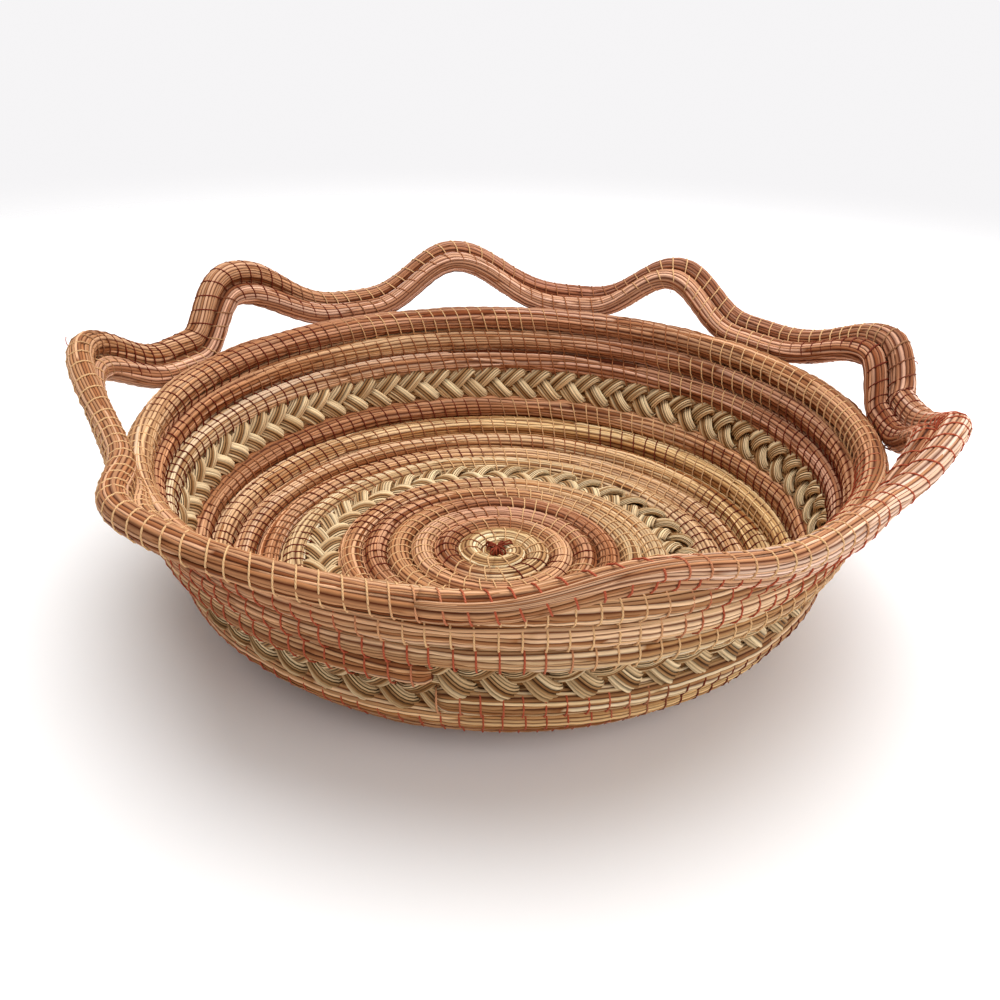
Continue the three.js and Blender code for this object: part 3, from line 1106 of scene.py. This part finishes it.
GRASS_MARKS = [  # turn and tone
    (7, 0.9), (7.6, 1.1), (8, 0.95),
    (13, 0.8), (13.25, 1.05), (13.7, 1.1), (14, 0.8),
]


def grass_tone(t):
    at, tone = np.array(GRASS_MARKS).T
    return np.interp(t, at, tone)


def drift(count, along, knot):
    """For each of so many blades, chance values that change gradually along it."""
    knots = np.arange(int(along[-1] / knot) + 2)
    blades = [np.interp(along / knot, knots, chance.normal(size=len(knots))) for _ in range(count)]
    return np.stack(blades, axis=1)


# %% Make a bundle of grass
def grass_bundle(name, swinging, turn, half_wide, half_thick, step, tone, share):
    stations = round(swinging.length / step)
    ring = straw_ring(BLADES, half_wide, half_thick, BLADE_DENT)
    piece = straight_bundle(name, ring, swinging.length, stations)
    sides = BLADES * STRAW_CORNERS
    own, corner = np.divmod(np.arange(sides), STRAW_CORNERS)
    groove = corner == 0
    bench = bench_points(piece)
    along = bench[::sides, 0]
    turned = np.tile(BLADE_FLAT * 2 * math.pi / BLADES * CORNER_WAY, BLADES * (stations + 1))
    side, top = bench[:, 1] / half_wide, bench[:, 2] / half_thick
    bench[:, 1] = half_wide * (side * np.cos(turned) - top * np.sin(turned))
    bench[:, 2] = half_thick * (top * np.cos(turned) + side * np.sin(turned))
    rise = drift(BLADES, along, BLADE_KNOT)[:, own] * np.where(groove, 0, BLADE_RISE)
    bench[:, 1:] *= 1 + rise.reshape(-1, 1)
    bench = lay(bench, swinging)
    from_end = np.minimum(bench[:, 0], turn.length - bench[:, 0])
    bench[:, 1:] *= (GATHER + (1 - GATHER) * smooth(from_end / GATHER_OVER))[:, None]
    bench[:, 2] += turn.inset
    settle(piece, lay(bench, turn))
    shade = np.exp(BLADE_SHADE * drift(BLADES, along, BLADE_KNOT)[:, own])
    # Painted shade darkens the grooves between the blades and the edges of a strand.
    light = tone * shade * np.where(groove, BLADE_GROOVE_SHADE, 1)
    light = light * grass_tone(value_at(turn, "t", bench[::sides, 0]))[:, None]
    at_edge = np.abs(np.cos(2 * math.pi * np.arange(sides) / sides)) ** EDGE_SHARP
    light = light * (1 - (1 - STRAND_EDGE_SHADE) * at_edge)
    dried = np.clip(DRY_SHARE * drift(BLADES, along, 2 * BLADE_KNOT)[:, own], 0, 1)[:, :, None]
    dye = GRASS + (GRASS_DRY - GRASS) * dried
    dye_piece(piece, toned(dye, light, GRASS_DEEPEN, GRASS_PALER).reshape(-1, 3))
    map_skin(piece, sides, stations + 1, swinging.length, 2 * math.pi * half_wide * OVAL_GIRTH, share)
    close_ends(piece)
    return piece


# %% [markdown]
# ## Plaiting
# The three strands swing a third of a plait behind each other. A flat, dark band of straight blades runs
# between them, painted shade that stands for the depth of the braid and closes the gaps between the strands.
# The four are joined, as one braid.

# %% Plait the grass
STRANDS = 3
STRAND_HALF = 3.5
STRAND_THICK = 1.4
STRAND_STATION = 2.0  # mm from ring to ring
# A dark band of straight blades inside the braid is painted shade for its depth; its tone darkens it.
SHADE_BAND_HALF = 6.6
SHADE_BAND_THICK = 0.9
SHADE_BAND_STATION = 8.0
SHADE_BAND_TONE = 0.4
PLAITS = {"base_braid": 13, "wall_braid": 21}
INSET = {"base_braid": 0.1, "wall_braid": 0.7}  # mm by which a braid lies nearer the bowl than the coils


def braid(name, node):
    turn = COURSES[node]
    turn.inset = INSET[node]
    pieces = []
    for k in range(STRANDS):
        swinging = strand_course(turn.length, PLAITS[node], 2 * math.pi * k / STRANDS)
        pieces.append(grass_bundle(
            name + str(k), swinging, turn, STRAND_HALF, STRAND_THICK, STRAND_STATION, 1, (k, STRANDS + 1)))
    # The dark band inside the braid, painted shade for its depth.
    pieces.append(grass_bundle(
        name + "_shade_band", straight_course(turn.length), turn,
        SHADE_BAND_HALF, SHADE_BAND_THICK, SHADE_BAND_STATION, SHADE_BAND_TONE, (STRANDS, STRANDS + 1)))
    only(pieces[0])
    for piece in pieces:
        piece.select_set(True)
    bpy.ops.object.join()
    pieces[0].name = name
    dress(pieces[0], grass_finish, node)


braid("base_plait", "base_braid")
braid("wall_plait", "wall_braid")

# %% [markdown]
# ## The floor
# The basket stands on a plain white floor, which keeps its soft shadow. It could be a large plane with a
# backdrop, but a disc whose material turns clear far out has no edge or horizon to hide.

# %% Set the floor
FLOOR_R = 1.0  # metres
FLOOR_CORNERS = 64
FLOOR_FADE = (0.3, 0.95)  # metres from the middle at which the floor fades into the white behind it
FLOOR_WHITE = (0.95, 0.945, 0.945, 1)


def fading_floor():
    finish = Finish("white_floor")
    place = finish.node("ShaderNodeTexCoord").out("Object")
    far = finish.node("ShaderNodeVectorMath", {"operation": "LENGTH"}, {0: place}).out("Value")
    fade = finish.node("ShaderNodeMapRange", {"interpolation_type": "SMOOTHSTEP"}, {
        "Value": far, "From Min": FLOOR_FADE[0], "From Max": FLOOR_FADE[1]}).out("Result")
    paint = finish.node("ShaderNodeBsdfDiffuse", None, {"Color": FLOOR_WHITE}).out("BSDF")
    clear = finish.node("ShaderNodeBsdfTransparent").out("BSDF")
    mixed = finish.node("ShaderNodeMixShader", None, {0: fade, 1: paint, 2: clear}).out("Shader")
    finish.node("ShaderNodeOutputMaterial", None, {"Surface": mixed})
    return finish.material


bpy.ops.object.select_all(action="DESELECT")
bpy.ops.mesh.primitive_circle_add(vertices=FLOOR_CORNERS, radius=FLOOR_R, fill_type="NGON")
floor = bpy.context.object
floor.name = "studio_floor"
floor.data.materials.append(fading_floor())
print("the floor is", 2 * FLOOR_R, "m across")

# %% [markdown]
# ## Light
# One broad lamp hangs above and a little behind the basket, and a weaker one stands to the right in front.
# The rest of the light comes from all round. To the camera alone, the far background is white.

# %% Set the lamps
LAMP_AIM = (0, 0, 0.03)  # metres, as the places and sizes of the lamps are


def lamp(name, place, size, power):
    bpy.ops.object.light_add(type="AREA")
    light = bpy.context.object
    light.name = name
    light.data.shape = "DISK"
    light.data.size = size
    light.data.energy = power
    light.location = place
    direction = np.array(LAMP_AIM) - np.array(place)
    tilt = math.acos(-direction[2] / np.linalg.norm(direction))
    light.rotation_euler = (tilt, 0, math.atan2(direction[1], direction[0]) - math.pi / 2)
    print(name, "shines with", power, "W")


lamp("window_lamp", place=(0.09, 0.3, 1.1), size=1.5, power=18)
lamp("front_lamp", place=(0.8, -0.65, 0.55), size=0.9, power=4.4)

# %% Set the world
AIR_COLOUR = (1, 0.99, 0.98, 1)
AIR_LEVEL = 0.47
BACK_WHITE = (0.92, 0.91, 0.92, 1)

world = bpy.data.worlds.new("studio_air")
bpy.context.scene.world = world
world.use_nodes = True
air = world.node_tree
sky = air.nodes["Background"]
sky.inputs["Color"].default_value = AIR_COLOUR
sky.inputs["Strength"].default_value = AIR_LEVEL
white = air.nodes.new("ShaderNodeBackground")
white.inputs["Color"].default_value = BACK_WHITE
path = air.nodes.new("ShaderNodeLightPath")
mix = air.nodes.new("ShaderNodeMixShader")
air.links.new(path.outputs["Is Camera Ray"], mix.inputs["Fac"])
air.links.new(sky.outputs["Background"], mix.inputs[1])
air.links.new(white.outputs["Background"], mix.inputs[2])
air.links.new(mix.outputs["Shader"], air.nodes["World Output"].inputs["Surface"])
bpy.context.scene.view_settings.view_transform = "Standard"
print("the air gives light at", AIR_LEVEL)
